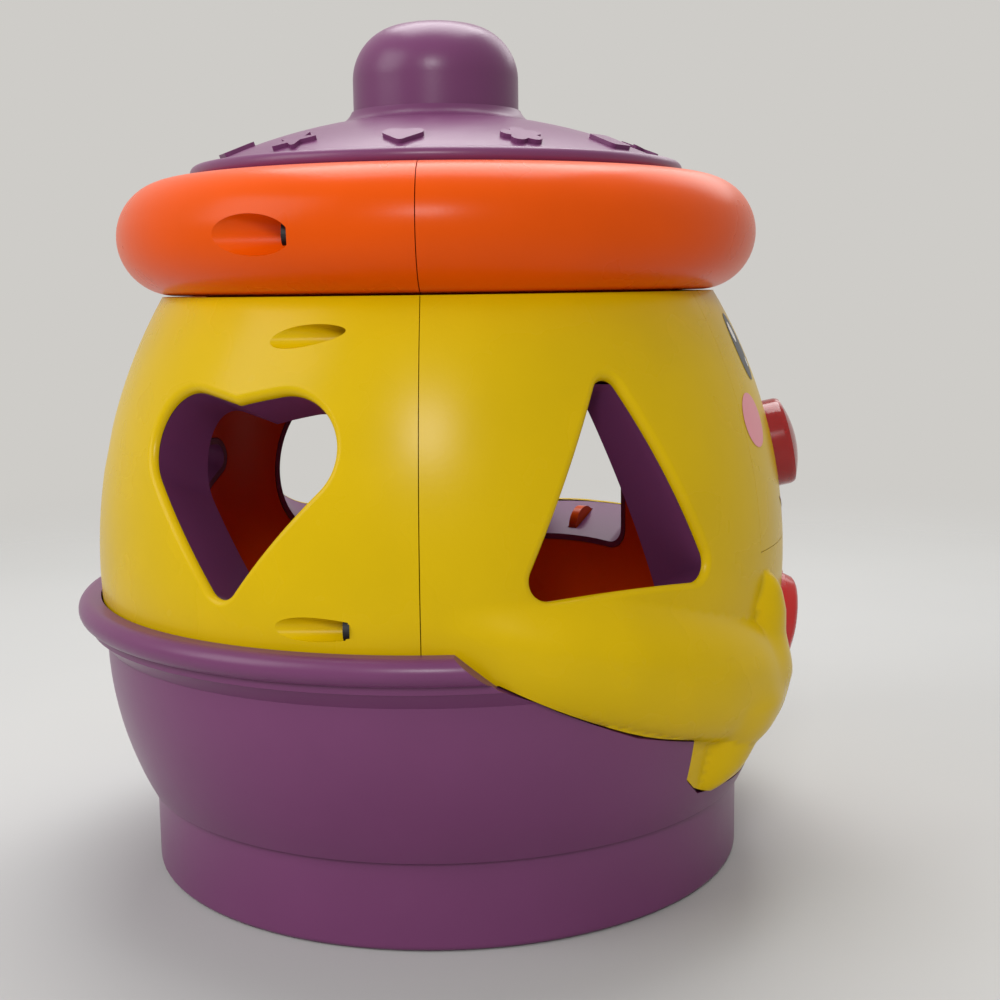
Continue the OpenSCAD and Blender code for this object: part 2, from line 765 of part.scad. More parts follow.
module face_panel() {
  color(yellow) difference() {
    union() {
      rotate([0, 0, 270 - face_half]) rotate([0, 0, face_play / 2])
        rotate_extrude(angle = 2 * face_half - face_play)
        difference() {
          body_profile(0, face_z0 + face_play, body_top_z);
          body_profile(wall, face_z0, body_top_z + 1);
        }
      intersection() {
        body_trim(wall / 2);
        at_nose() union() {
          translate([0, 0, -guide_depth]) cylinder(d = nose_d + 2 * slide + 4, h = guide_depth + 4);
          for (x = [-1, 1]) {
            translate([x * nose_post_x, 0, -button_board_top])
              cylinder(r = button_post_r, h = button_board_top);
          }
        }
      }
    }
    at_nose() translate([0, 0, -guide_depth - 1]) cylinder(d = nose_d + 2 * slide, h = guide_depth + 12);
    for (x = [-1, 1]) {
      at_nose() translate([x * nose_post_x, 0, -button_board_top - 1]) cylinder(d = screw_d - 0.4, h = 8);
    }
  }
}

// Ring

module ring_half() {
  difference() {
    union() {
      rotate_extrude(angle = 180) difference() {
        ring_profile(0);
        ring_profile(ring_wall);
      }
      children();
    }
    translate([-far / 2, -seam_gap / 2, 0]) cube([far, seam_gap, far]);
  }
}

module ring_front() {
  s = ring_screw_at;
  color(orange) rotate([0, 0, 180]) difference() {
    ring_half() intersection() {
      rotate_extrude() ring_profile(ring_wall / 2);
      both_sides() along_y(s[0], s[1], s[4], 0, far / 2);
    }
    both_sides() along_y(s[0], s[1], screw_d / 2 + 0.1, -1, screw_reach + 1);
  }
}

module ring_rear() {
  s = ring_screw_at;
  color(orange) difference() {
    ring_half() {
      both_sides() along_y(s[0], s[1], s[4], 0, s[3]);
      intersection() {
        rotate_extrude() ring_profile(ring_wall / 2);
        both_sides() along_y(s[0], s[1], s[2] + 1.8, s[3] - 2, far / 2);
      }
    }
    both_sides() along_y(s[0], s[1], s[2], s[3], far / 2);
    both_sides() along_y(s[0], s[1], screw_d / 2 + 0.2, -1, s[3] + 1);
  }
}

module ring_screws() {
  s = ring_screw_at;
  color(steel) both_sides() translate([s[0], s[3] + head_air, s[1]]) rotate([90, 0, 0])
    screw(screw_d, s[3] + screw_reach - 1, 1.6);
}

// Inside

// Half profile inside the liner's barrel-shaped wall
module liner_profile(inset) {
  intersection() {
    translate([liner_r + liner_wall - liner_arc, (floor_z + shoulder_z) / 2])
      circle(liner_arc - inset, $fn = 360);
    translate([0, floor_z]) square([liner_r + liner_wall, shoulder_z - floor_z]);
  }
}

// Half profile of the liner up to its mouth, with its wall set in, drawn on above the mouth by rise
module liner_room(inset, z0, rise) {
  low = [liner_edge(inset), shoulder_z];
  high = [mouth_r + liner_wall - inset, liner_top_z];
  lean = (low.x - high.x) / (high.y - low.y);
  intersection() {
    translate([liner_r + liner_wall - liner_arc, (floor_z + shoulder_z) / 2])
      circle(liner_arc - inset, $fn = 360);
    polygon([
      [0, z0], [low.x + lean * 20, z0], [low.x + lean * 20, low.y - 20],
        [high.x - lean * rise, high.y + rise],
      [0, high.y + rise]
    ]);
  }
}

module inner_liner() {
  color(orange) difference() {
    translate([0, 0, liner_lift]) rotate_extrude() {
      translate([0, floor_z]) square([liner_flange_r, liner_wall]);
      difference() {
        liner_room(0, floor_z, 0);
        liner_room(liner_wall, floor_z + liner_wall, 5);
      }
    }
    for (i = [0 : 4]) at_hole(i) edged_prism(HOLES[i][1], sleeve_wall + fit, -45, 0);
  }
}

// Room between the liner's inside and the body's inside, round one hole
module sleeve_room(i) {
  at_angle(HOLES[i][0] + 40) rotate([0, 0, -90]) rotate_extrude(angle = 80) difference() {
    body_profile(wall + fit, seat_z, shoulder_z);
    liner_profile(liner_wall);
  }
}

module sleeve(i) {
  sill = HOLES[i][2];
  color(purple) difference() {
    intersection() {
      union() {
        at_hole(i) prism(HOLES[i][1], sleeve_wall, -60, 20);
        for (x = [-1, 1]) {
          at_hole(i) translate([x * fin_post_x, sill + 5, fin_depth(i)]) rotate([90, 0, 0])
            cylinder(r = fin_post_r, h = fin_board_top + HOLES[i][3] + 5, $fn = 32);
        }
      }
      sleeve_room(i);
    }
    at_hole(i) prism(HOLES[i][1], 0, -61, 21);
    at_hole(i) translate([-fin_t / 2 - slide, sill - 6, fin_depth(i) - fin_slot_l / 2])
      cube([fin_t + 2 * slide, 12, fin_slot_l]);
  }
}

// Places a shape on the sill of a hole: x along the sleeve, y across it, z up from the sill
module at_sill(i) {
  at_hole(i) translate([0, HOLES[i][2], fin_depth(i)]) rotate([-90, 0, 0]) rotate([0, 0, 90]) children();
}

module trigger(i) {
  low = flange_low + HOLES[i][3];
  color(orange) at_sill(i) {
    intersection() {
      translate([0, fin_t / 2, fin_rise - fin_r]) rotate([90, 0, 0]) cylinder(r = fin_r, h = fin_t);
      translate([-fin_w / 2, -fin_t, 0]) cube([fin_w, 2 * fin_t, fin_rise + 1]);
    }
    translate([-fin_w / 2, -fin_t / 2, -low]) cube([fin_w, fin_t, low]);
    translate([-flange_l / 2, -flange_w / 2, -low]) cube([flange_l, flange_w, flange_t]);
  }
}

module trigger_boards() {
  color(green) for (i = [0 : 4]) {
    at_sill(i) translate([-fin_board_l / 2, -fin_board_w / 2, -fin_board_top - HOLES[i][3] - board_t])
      cube([fin_board_l, fin_board_w, board_t]);
  }
}

module trigger_domes() {
  color(pale) for (i = [0 : 4]) {
    at_sill(i) translate([0, 0, -fin_board_top - HOLES[i][3]])
      cylinder(r1 = 3, r2 = 1.8, h = dome_h - 0.1, $fn = 32);
  }
}

// Buttons

module nose_button() {
  r = nose_d / 2;
  edge = 3.2;
  crown = 30;
  color(red) at_nose() rotate_extrude() difference() {
    union() {
      translate([0, -guide_depth - fit - button_flange_t]) square([r + slide + 1.8, button_flange_t]);
      translate([0, -guide_depth - fit - weld])
        square([r, guide_depth + fit + weld + nose_rise - edge - 1.4]);
      intersection() {
        union() {
          translate([0, nose_rise - edge - 1.4 - weld]) square([r - edge, 20]);
          translate([r - edge, nose_rise - edge - 1.4]) circle(edge);
        }
        translate([0, nose_rise - crown]) circle(crown);
      }
    }
    translate([0, -guide_depth - fit - button_flange_t - 1])
      square([r - button_wall, guide_depth + nose_rise - 1]);
    translate([-far, -far / 2]) square([far, far]);
  }
}

module nose_board() {
  color(green) at_nose() translate([0, 0, -button_board_top - board_t - 0.05])
    linear_extrude(board_t) difference() {
    square([2 * nose_post_x + 8, 22], center = true);
    for (x = [-1, 1]) translate([x * nose_post_x, 0]) circle(d = screw_d);
  }
}

module nose_lamp() {
  color(pale) at_nose() translate([0, 0, -button_board_top]) {
    cylinder(d = 5, h = 6);
    translate([0, 0, 6]) sphere(d = 5);
    cylinder(d = 6, h = 1);
  }
}

module nose_domes() {
  color(pale) for (x = [-1, 1]) {
    at_nose() translate([x * (nose_d / 2 - 0.6), 0, -button_board_top])
      cylinder(r1 = 2.4, r2 = 1.4, h = button_dome_h - 0.1, $fn = 32);
  }
}

module heart_button() {
  color(red) at_heart() difference() {
    union() {
      edged_prism(heart_shape, 0, -guide_depth - fit - weld, heart_rise - 1.5);
      edged_prism(heart_shape, -0.8, heart_rise - 1.5 - weld, heart_rise - 0.6);
      edged_prism(heart_shape, -2, heart_rise - 0.6 - weld, heart_rise);
      edged_prism(heart_shape, slide + 1.6, -guide_depth - fit - button_flange_t, -guide_depth - fit);
    }
    edged_prism(heart_shape, -button_wall, -guide_depth - 4, heart_rise - 2.4);
  }
}

module heart_board() {
  color(green) at_heart() translate([0, 0, -button_board_top - board_t - 0.05])
    linear_extrude(board_t) difference() {
    polygon([[-34, 22], [34, 22], [34, 12], [21, -23], [-21, -23], [-34, 12]]);
    for (p = heart_post) translate(p) circle(d = screw_d);
  }
}

module heart_domes() {
  color(pale) for (x = [-1, 1]) {
    at_heart() translate([x * (heart_w / 2 - 8), heart_h / 2 - 2.4, -button_board_top])
      cylinder(r1 = 2.2, r2 = 1.4, h = button_dome_h - 0.1, $fn = 32);
  }
}

// Lid

motif_r = 61;
motif_step = 30;

module motif(k) {
  h = motif_w;
  heart = heart_outline(h, h * 0.42, -h * 0.46, h * 0.25, h * 0.1, h * 0.1);
  star = star_outline(h * 0.58, h * 0.27, h * 0.07, 0);
  tile = square_outline(h * 0.42, h * 0.12, 0);
  flower = star_outline(h * 0.54, h * 0.35, h * 0.19, 0);
  polygon(edged_points([heart, star, tile, flower][k], motif_step));
}

// Frame on the lid's outside: normal to the sphere, pointing down towards the rim with -Y
module on_lid(a, r) {
  tilt = asin(r / lid_arc);
  at_angle(a) translate([0, 0, lid_mid_z]) rotate([tilt, 0, 0]) translate([0, 0, lid_arc]) children();
}

flare_r = 6;
flare_mid_r = knob_r + 0.2 + flare_r;
flare_mid_z = lid_mid_z + sqrt((lid_arc + flare_r) * (lid_arc + flare_r) - flare_mid_r * flare_mid_r);

module lid_shell() {
  color(purple) difference() {
    union() {
      rotate_extrude() {
        difference() {
          intersection() {
            translate([0, lid_mid_z]) circle(lid_arc, $fn = 360);
            translate([0, lid_rim_z]) square([lid_rim_in, 40]);
          }
          translate([0, lid_mid_z]) circle(lid_arc - wall, $fn = 360);
        }
        translate([lid_rim_in, lid_rim_z]) circle(lid_bead);
        difference() {
          translate([knob_r - 6, lid_at(knob_r + 5) - 1])
            square([10.5, knob_seat_z - lid_at(knob_r + 5) + 1]);
          translate([flare_mid_r, flare_mid_z]) circle(flare_r);
        }
      }
      for (i = [0 : motif_count - 1]) {
        on_lid(95 + i * 360 / motif_count, motif_r) translate([0, 0, -1.2])
          linear_extrude(motif_h + 1.2) motif(i % 4);
      }
    }
    cylinder(d = 4.4, h = far);
  }
}

plug_r = mouth_r - 1.2;
plug_low_z = lid_seat_z - plug_depth;
plug_post_top = lid_mid_z + lid_arc - wall - fit;

module lid_plug() {
  color(purple) difference() {
    union() {
      rotate_extrude() {
        translate([0, plug_low_z]) square([plug_r, 2]);
        translate([plug_r - 2, plug_low_z]) square([2, plug_depth + 5]);
        translate([plug_r - weld, lid_seat_z + 0.1]) square([seat_r - 0.4 - plug_r + weld, 2]);
      }
      translate([0, 0, plug_low_z]) cylinder(r = 6.5, h = plug_post_top - plug_low_z);
    }
    translate([0, 0, plug_low_z - 1]) cylinder(d = 9, h = 11);
    cylinder(d = 4.4, h = far);
  }
}

module knob_profile(inset) {
  corner = 16;
  crown = 55;
  x = knob_r - corner;
  crown_z = knob_top_z - crown;
  z = crown_z + sqrt((crown - corner) * (crown - corner) - x * x);
  intersection() {
    union() {
      translate([0, knob_seat_z]) square([knob_r - inset, z - knob_seat_z]);
      intersection() {
        translate([x, z]) circle(corner - inset);
        translate([0, z - weld]) square([knob_r, corner + weld]);
      }
      intersection() {
        translate([0, crown_z]) circle(crown - inset, $fn = 180);
        translate([0, z - weld]) square([x * crown / (crown - corner), crown]);
      }
    }
    translate([0, knob_seat_z]) square([knob_r, knob_h + 1]);
  }
}

module lid_knob() {
  color(purple) difference() {
    union() {
      rotate_extrude() difference() {
        knob_profile(0);
        knob_profile(wall);
      }
      translate([0, 0, knob_seat_z - 0.6]) cylinder(r = 5, h = knob_h - 1);
    }
    translate([0, 0, knob_seat_z - 2]) cylinder(d = 4.2, h = knob_h - 8);
    translate([0, 0, knob_top_z + 2.3]) sphere(3);
  }
}

module lid_screw() {
  color(steel) translate([0, 0, plug_low_z + 10]) {
    cylinder(d = 3.8, h = knob_seat_z + knob_h - 12 - plug_low_z - 10);
    translate([0, 0, -2.4]) cylinder(d = 8, h = 2.35);
  }
}

module sleeve_triangle() { sleeve(0); }
module sleeve_heart() { sleeve(1); }
module sleeve_star() { sleeve(2); }
module sleeve_circle() { sleeve(3); }
module sleeve_square() { sleeve(4); }
module trigger_triangle() { trigger(0); }
module trigger_heart() { trigger(1); }
module trigger_star() { trigger(2); }
module trigger_circle() { trigger(3); }
module trigger_square() { trigger(4); }

base_bowl();
base_plate();
base_screws();
battery_box();
batteries();
battery_contacts();
battery_door();
battery_door_screw();
main_board();
board_components();
speaker();
power_switch_body();
power_switch_knob();
body_shell_front();
body_shell_rear();
body_screws();
face_panel();
ring_front();
ring_rear();
ring_screws();
inner_liner();
sleeve_triangle();
sleeve_heart();
sleeve_star();
sleeve_circle();
sleeve_square();
trigger_triangle();
trigger_heart();
trigger_star();
trigger_circle();
trigger_square();
trigger_boards();
trigger_domes();
nose_button();
nose_board();
nose_lamp();
nose_domes();
heart_button();
heart_board();
heart_domes();
lid_shell();
lid_plug();
lid_knob();
lid_screw();
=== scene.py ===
import json
import math

import bpy
import numpy as np
from mathutils import Matrix, Vector
from mathutils.geometry import delaunay_2d_cdt


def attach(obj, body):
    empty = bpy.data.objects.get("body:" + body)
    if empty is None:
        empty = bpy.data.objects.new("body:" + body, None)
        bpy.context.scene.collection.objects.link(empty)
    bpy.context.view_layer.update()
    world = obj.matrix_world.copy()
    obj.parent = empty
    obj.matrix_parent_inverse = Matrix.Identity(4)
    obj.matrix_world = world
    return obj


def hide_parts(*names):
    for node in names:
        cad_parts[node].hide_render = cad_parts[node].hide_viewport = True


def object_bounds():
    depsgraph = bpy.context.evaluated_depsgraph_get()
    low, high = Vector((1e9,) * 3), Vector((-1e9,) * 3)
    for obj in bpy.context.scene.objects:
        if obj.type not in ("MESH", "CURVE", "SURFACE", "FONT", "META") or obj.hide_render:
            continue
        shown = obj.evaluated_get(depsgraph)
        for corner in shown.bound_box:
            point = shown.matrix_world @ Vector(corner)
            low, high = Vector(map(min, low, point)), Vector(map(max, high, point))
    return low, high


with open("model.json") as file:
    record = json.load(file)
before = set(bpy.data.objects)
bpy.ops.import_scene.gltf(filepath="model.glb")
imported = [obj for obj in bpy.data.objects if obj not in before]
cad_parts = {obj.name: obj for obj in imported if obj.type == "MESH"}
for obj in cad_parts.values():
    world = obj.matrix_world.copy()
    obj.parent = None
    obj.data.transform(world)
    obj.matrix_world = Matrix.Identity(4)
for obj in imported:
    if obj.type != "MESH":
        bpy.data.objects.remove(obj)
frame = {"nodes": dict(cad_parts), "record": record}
CAD_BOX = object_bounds()
NODES = frame["nodes"]
RECORD = frame["record"]

# Sizes of the part, in millimetres, as its source states them
MM = 0.001
BODY_R, BODY_MID_Z, BODY_ARC, BODY_TOP_Z = 104.1, 92.0, 153.5, 170.2
SEAT_Z, BOWL_MID_Z, BOWL_ARC = 74.0, 70.0, 100.0
WALL = 2.4
SEAM_HALF = 0.125
FACE_HALF, FACE_Z0 = 29.0, 98.0
HOLE_Z, SLOPE = 121.0, 22.5
HEART_Z, HEART_TILT, HEART_RISE, GUIDE_DEPTH = 58.5, 7.0, 2.6, 8.0
SLIDE = 0.4
PER_DEGREE = math.radians(1) * BODY_R  # length of a degree round the body, for flat layouts

LIP, LIP_DEPTH, LIP_ROWS = 2.3, 2.6, 8  # round edge of each shape hole
BUTTON_LIP, BUTTON_LIP_DEPTH = SLIDE + 0.6, 1.2
SURFACE_STEP, EDGE_STEP = 1.6, 1.3  # sides of the skin's triangles, inside and along its edges
ROW_HEIGHT = 0.87  # of a row of even triangles, as a share of their side
REACH_IN, REACH_OUT, HALVINGS = -22.0, 26.0, 40  # search for the skin along an opening's axis
NORMAL_STEP = 0.15
BLEND = 0.7  # how softly a raised form runs out into the body
TINY = 1e-9
RIM_BATCH, RIM_SHARE = 64, 0.6  # edge points tested at a time, and room kept free beside them


def body_at(z):
    return BODY_R - BODY_ARC + np.sqrt(BODY_ARC**2 - (z - BODY_MID_Z) ** 2)


BOWL_R = float(body_at(SEAT_Z))
HOLE_R = float(body_at(HOLE_Z))


def bowl_at(z):
    return BOWL_R - BOWL_ARC + np.sqrt(BOWL_ARC**2 - (z - BOWL_MID_Z) ** 2)


def front_at(z):
    z = np.asarray(z, float)
    low = bowl_at(np.minimum(z, BOWL_MID_Z))
    return np.where(z > SEAT_Z, body_at(np.maximum(z, SEAT_Z)), np.where(z > BOWL_MID_Z, BOWL_R, low))


HEART_R0 = float(front_at(HEART_Z))

# Lower edge of the arms and hands, and their sections, as in the source
ARM_LINE = [
    (85.7, 84), (79.6, 75.2), (70.9, 67), (58, 56.7), (46.1, 51.4), (45.8, 39.6), (41.4, 33.6),
    (27.4, 30.9), (0, 29),
]
ARM = [
    (92, 88, 0, 9), (87, 87, 0.5, 10), (80, 84.5, 2.6, 12), (71, 81, 6, 15), (62, 77.5, 8.8, 17.2),
    (53, 72.8, 10, 18), (44, 68.4, 10.4, 18), (35, 64.5, 10, 17.6), (27, 61.5, 8.6, 16.4),
    (20, 60, 6.4, 12.5), (16, 59.5, 4, 7.5), (14.5, 59.3, 1.5, 3), (13.6, 59.2, 0, 2),
]
THUMB = [
    (26.7, 92.6, 0, 1.6), (26.5, 91, 2.6, 3.4), (26.2, 87.4, 4.6, 6.4), (25.6, 80.6, 6, 9.6),
    (25.2, 71.3, 6.6, 12), (25.2, 62, 6, 12), (25.2, 52, 0, 12),
]
FINGER = [
    (34, 70, 0, 14), (34, 58, 8, 14), (34.5, 48, 7.4, 13.6), (36, 40, 6.4, 11), (38, 35.4, 4.6, 7.4),
    (39.4, 33.2, 2.4, 3.4), (40, 31.6, 0, 1.6),
]


def table(rows, key, soften):
    """Columns of a list of sections as smooth functions of one of them."""
    rows = np.array(sorted(rows, key=lambda r: r[key]), float)
    grid = np.linspace(rows[0, key], rows[-1, key], 400)
    width = max(1, int(soften / (grid[1] - grid[0])))
    kernel = np.hanning(2 * width + 3)
    kernel /= kernel.sum()
    cols = []
    for c in range(rows.shape[1]):
        col = np.interp(grid, rows[:, key], rows[:, c])
        padded = np.pad(col, len(kernel) // 2, mode="reflect", reflect_type="odd")
        cols.append(np.convolve(padded, kernel, mode="valid"))
    return grid, cols


ARM_SOFTEN, DIGIT_SOFTEN = 3.0, 2.0
ARM_TABLE = table(ARM, 0, ARM_SOFTEN)
THUMB_TABLE = table(THUMB, 1, DIGIT_SOFTEN)
FINGER_TABLE = table(FINGER, 1, DIGIT_SOFTEN)
# Fullness of the arm's section by angle, and the least that its underside has: smaller is fuller
ARM_POWER = ((30, 50, 68, 84), (0.95, 1.0, 1.3, 1.8))
UNDERSIDE_POWER = 0.6


def swell(q, power=0.75):
    return np.clip(1 - q * q, 0, 1) ** power


def front_radius(phi, z):
    """Radius of the front half's skin, with the arms, thumbs and fingers raised on it."""
    phi, z = np.abs(np.asarray(phi, float)), np.asarray(z, float)
    base = front_at(z)
    raised = []
    grid, (_, mid, rise, half) = ARM_TABLE
    m, r, h = (np.interp(phi, grid, c) for c in (mid, rise, half))
    q = (z - m) / h
    inside = (np.abs(q) < 1) & (phi > grid[0]) & (phi < grid[-1])
    # The shoulder runs out softly, the hand is full; the underside stays full down to its edge
    power = np.interp(phi, *ARM_POWER)
    power = np.where(q < 0, np.minimum(power, UNDERSIDE_POWER), power)
    level = np.maximum(front_at(m) - base, 0) * (q < 0)
    raised.append(np.where(inside, level + r * swell(q, power), 0))
    for grid, (mid, _, rise, half) in (THUMB_TABLE, FINGER_TABLE):
        m, r, h = (np.interp(z, grid, c) for c in (mid, rise, half))
        q = (phi - m) * PER_DEGREE / h
        inside = (np.abs(q) < 1) & (z > grid[0]) & (z < grid[-1])
        raised.append(np.where(inside, r * swell(q), 0))
    total = sum(np.maximum(b, 0) ** 3 for b in raised) ** (1 / 3)
    return base + total * total / (total + BLEND)


def rear_radius(phi, z):
    return body_at(np.asarray(z, float)) + 0 * np.asarray(phi, float)


def unit(v):
    return v / np.maximum(np.linalg.norm(v, axis=-1, keepdims=True), TINY)


def at(radius, phi, z):
    """Points in millimetres for an angle from the front, towards the left side, and a height."""
    a = np.radians(phi)
    r = radius(phi, z)
    return np.stack([-r * np.sin(a), -r * np.cos(a), np.asarray(z, float) + 0 * r], -1)


def normals_at(radius, phi, z):
    d = NORMAL_STEP
    along = at(radius, phi + d / PER_DEGREE, z) - at(radius, phi - d / PER_DEGREE, z)
    up = at(radius, phi, z + d) - at(radius, phi, z - d)
    n = unit(np.cross(up, along))
    a = np.radians(phi)
    out = np.stack([-np.sin(a), -np.cos(a), 0 * a], -1)
    return n * np.sign((n * out).sum(-1, keepdims=True))


# Outlines: rows of (x, y, corner radius), anticlockwise, radius 0 for an inward corner


def heart_outline(w, top, bottom, lobe, tip, cleft):
    x, y = w / 2 - lobe, top - lobe
    return [(0, bottom + tip, tip), (x, y, lobe), (0, top - cleft, 0), (-x, y, lobe)]


def star_outline(r, inner, tip, mid):
    rows = []
    for i in range(10):
        a, odd = math.radians(-90 + 36 * i), i % 2 == 1
        d = r - tip if odd else inner
        rows.append((d * math.cos(a), mid + d * math.sin(a), tip if odd else 0))
    return rows


def square_outline(half, corner, mid):
    d = half - corner
    return [(x * d, mid + y * d, corner) for x, y in ((-1, -1), (1, -1), (1, 1), (-1, 1))]


def edge_angle(a, b):
    dx, dy = b[0] - a[0], b[1] - a[1]
    return math.atan2(dy, dx) - math.pi / 2 + math.asin((a[2] - b[2]) / math.hypot(dx, dy))


def outline_points(v, grow=0.0, step=EDGE_STEP):
    """Points along an outline, grown all round, at about an even step."""
    def arc(c, angles):
        r = c[2] + grow
        return np.stack([c[0] + r * np.cos(angles), c[1] + r * np.sin(angles)], -1)

    corners, n = [], len(v)
    if n == 1:
        count = int(2 * math.pi * v[0][2] / step)
        return arc(v[0], np.arange(count) * 2 * math.pi / count)
    for i, c in enumerate(v):
        a1, a2 = edge_angle(v[i - 1], c), edge_angle(c, v[(i + 1) % n])
        n1, n2 = np.array([math.cos(a1), math.sin(a1)]), np.array([math.cos(a2), math.sin(a2)])
        if c[2] > 0:
            turn = (a2 - a1) % (2 * math.pi)
            count = max(6, int(turn * (c[2] + 1) / step * 1.4))
            corners.append(arc(c, a1 + turn * np.arange(count + 1) / count))
        else:
            corners.append((np.array(c[:2]) + grow * (n1 + n2) / (1 + n1 @ n2))[None])
    points = []
    for i, c in enumerate(corners):
        points.extend(c)
        a, b = c[-1], corners[(i + 1) % n][0]
        count = max(1, int(np.linalg.norm(b - a) / step))
        points.extend(a + (b - a) * k / count for k in range(1, count))
    return np.array(points)


HOLES = {
    "triangle": (60, [(-21.4, -18.5, 5), (21.4, -18.5, 5), (0, 25.5, 3.5)]),
    "heart": (120, heart_outline(59.6, 26.8, -25.1, 14, 5, 3.4)),
    "star": (180, star_outline(30, 13.5, 4, -1.2)),
    "circle": (240, [(0, -1, 25.5)]),
    "square": (300, square_outline(23.5, 5.5, -3)),
}
HEART_SHAPE = heart_outline(50, 26, -27, 13, 5, 4)


def turned(points, angle):
    """Points seen at the front, turned by an angle towards the left side."""
    a = math.radians(angle)
    x = points[..., 0] * math.cos(a) + points[..., 1] * math.sin(a)
    y = -points[..., 0] * math.sin(a) + points[..., 1] * math.cos(a)
    return np.stack([x, y, points[..., 2]], -1)


def tilted(vu, depth, r0, z0, lean):
    """Points on a plane that faces the front and leans back, with their depth along its normal."""
    s, c = math.sin(math.radians(lean)), math.cos(math.radians(lean))
    v, u = vu[..., 0], vu[..., 1]
    return np.stack([v, -r0 + u * s - depth * c, z0 + u * c + depth * s], -1)


def hole_frame(angle):
    return lambda vu, depth: turned(tilted(vu, depth, HOLE_R, HOLE_Z, SLOPE), angle)


def heart_frame(vu, depth):
    return tilted(vu, depth, HEART_R0, HEART_Z, -HEART_TILT)


def polar(p):
    return np.degrees(np.arctan2(-p[..., 0], -p[..., 1])), p[..., 2]


def polar_near(p, centre):
    """Angles and heights of points, with the angles within half a turn of a centre."""
    phi, z = polar(p)
    return (phi - centre + 180) % 360 - 180 + centre, z


def on_skin(place, vu, radius, centre):
    """Depths at which lines through an outline's points reach the skin."""
    low, high = np.full(len(vu), REACH_IN), np.full(len(vu), REACH_OUT)
    for _ in range(HALVINGS):
        mid = (low + high) / 2
        p = place(vu, mid)
        phi, z = polar_near(p, centre)
        outside = np.hypot(p[:, 0], p[:, 1]) > radius(phi, z)
        high, low = np.where(outside, mid, high), np.where(outside, low, mid)
    return (low + high) / 2


class Skin:
    """Vertices, normals and faces of one piece, in millimetres."""

    def __init__(self):
        self.points, self.normals, self.faces = [], [], []

    def add(self, points, normals):
        start = len(self.points)
        self.points.extend(np.asarray(points, float).tolist())
        self.normals.extend(np.asarray(normals, float).tolist())
        return start

    def strip(self, rows, normals, closed):
        """Quads between rows of points, turned so that they face along their normals."""
        rows, normals = np.asarray(rows, float), np.asarray(normals, float)
        m, n = rows.shape[:2]
        start = self.add(rows.reshape(-1, 3), normals.reshape(-1, 3))
        for i in range(m - 1):
            for j in range(n if closed else n - 1):
                k = (j + 1) % n
                row, below = start + i * n, start + (i + 1) * n
                quad = [row + j, row + k, below + k, below + j]
                a, b, c, d = rows[i, j], rows[i, k], rows[i + 1, k], rows[i + 1, j]
                if np.dot(np.cross(c - a, d - b), normals[i, j] + normals[i + 1, k]) < 0:
                    quad.reverse()
                self.faces.append(quad)

    def patch(self, points, normals, tris):
        """Triangles turned so that they face along their normals."""
        start = self.add(points, normals)
        a, b, c = (points[tris[:, i]] for i in range(3))
        wrong = (np.cross(b - a, c - a) * normals[tris].mean(1)).sum(1) < 0
        for t, turn in zip(tris, wrong):
            self.faces.append([int(start + i) for i in (t[::-1] if turn else t)])

    def piece(self, name, body, slot, replaces=()):
        mesh = bpy.data.meshes.new(name)
        mesh.from_pydata([[c * MM for c in p] for p in self.points], [], self.faces)
        mesh.polygons.foreach_set("use_smooth", [True] * len(mesh.polygons))
        mesh.normals_split_custom_set_from_vertices(unit(np.array(self.normals, float)).tolist())
        mesh.update()
        obj = bpy.data.objects.new(name, mesh)
        bpy.context.scene.collection.objects.link(obj)
        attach(obj, body)
        if replaces:
            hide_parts(*replaces)
        obj.data.materials.append(MATERIALS[slot])
        return obj


def inside(points, loop):
    """Which points lie inside a closed loop."""
    x, y = points[:, 0][:, None], points[:, 1][:, None]
    a, b = loop, np.roll(loop, -1, axis=0)
    cross = (a[:, 1] > y) != (b[:, 1] > y)
    with np.errstate(divide="ignore", invalid="ignore"):
        at_x = (b[:, 0] - a[:, 0]) * (y - a[:, 1]) / (b[:, 1] - a[:, 1]) + a[:, 0]
    return (cross & (x < at_x)).sum(1) % 2 == 1


def spaced(loop, step):
    """A closed loop with points added so that none lie further apart than a step."""
    points = []
    for a, b in zip(loop, np.roll(loop, -1, axis=0)):
        count = max(1, int(math.ceil(np.linalg.norm(b - a) / step)))
        points.extend(a + (b - a) * k / count for k in range(count))
    return np.array(points)


def fill(outer, holes, step, extra=()):
    """Points and triangles of a flat fill of a loop outside its holes."""
    loops = [outer, *holes]
    rim = np.vstack(loops)
    lo, hi = outer.min(0), outer.max(0)
    columns, rows = (int((hi[i] - lo[i]) / step) + 1 for i in (0, 1))
    grid = np.array([
        (lo[0] + (i + 0.5 * (j % 2)) * step, lo[1] + j * step * ROW_HEIGHT)
        for j in range(int(rows / ROW_HEIGHT) + 1)
        for i in range(columns)
    ])
    if len(extra):
        grid = np.vstack([grid, extra])

    def between(points):
        keep = inside(points, outer)
        for h in holes:
            keep &= ~inside(points, h)
        return keep

    grid = grid[between(grid)]
    near = np.full(len(grid), np.inf)
    for few in np.array_split(rim, math.ceil(len(rim) / RIM_BATCH)):
        near = np.minimum(near, np.linalg.norm(grid[:, None] - few[None], axis=2).min(1))
    grid = grid[near > RIM_SHARE * min(step, EDGE_STEP)]
    points = np.vstack([rim, grid])
    edges, start = [], 0
    for loop in loops:
        n = len(loop)
        edges.extend((start + i, start + (i + 1) % n) for i in range(n))
        start += n
    got = delaunay_2d_cdt([Vector(p) for p in points.tolist()], edges, [], 0, 1e-6)
    flat = np.array([tuple(v) for v in got[0]], float)
    tris = np.array([f for f in got[2] if len(f) == 3], int)
    return flat, tris[between(flat[tris].mean(1))]


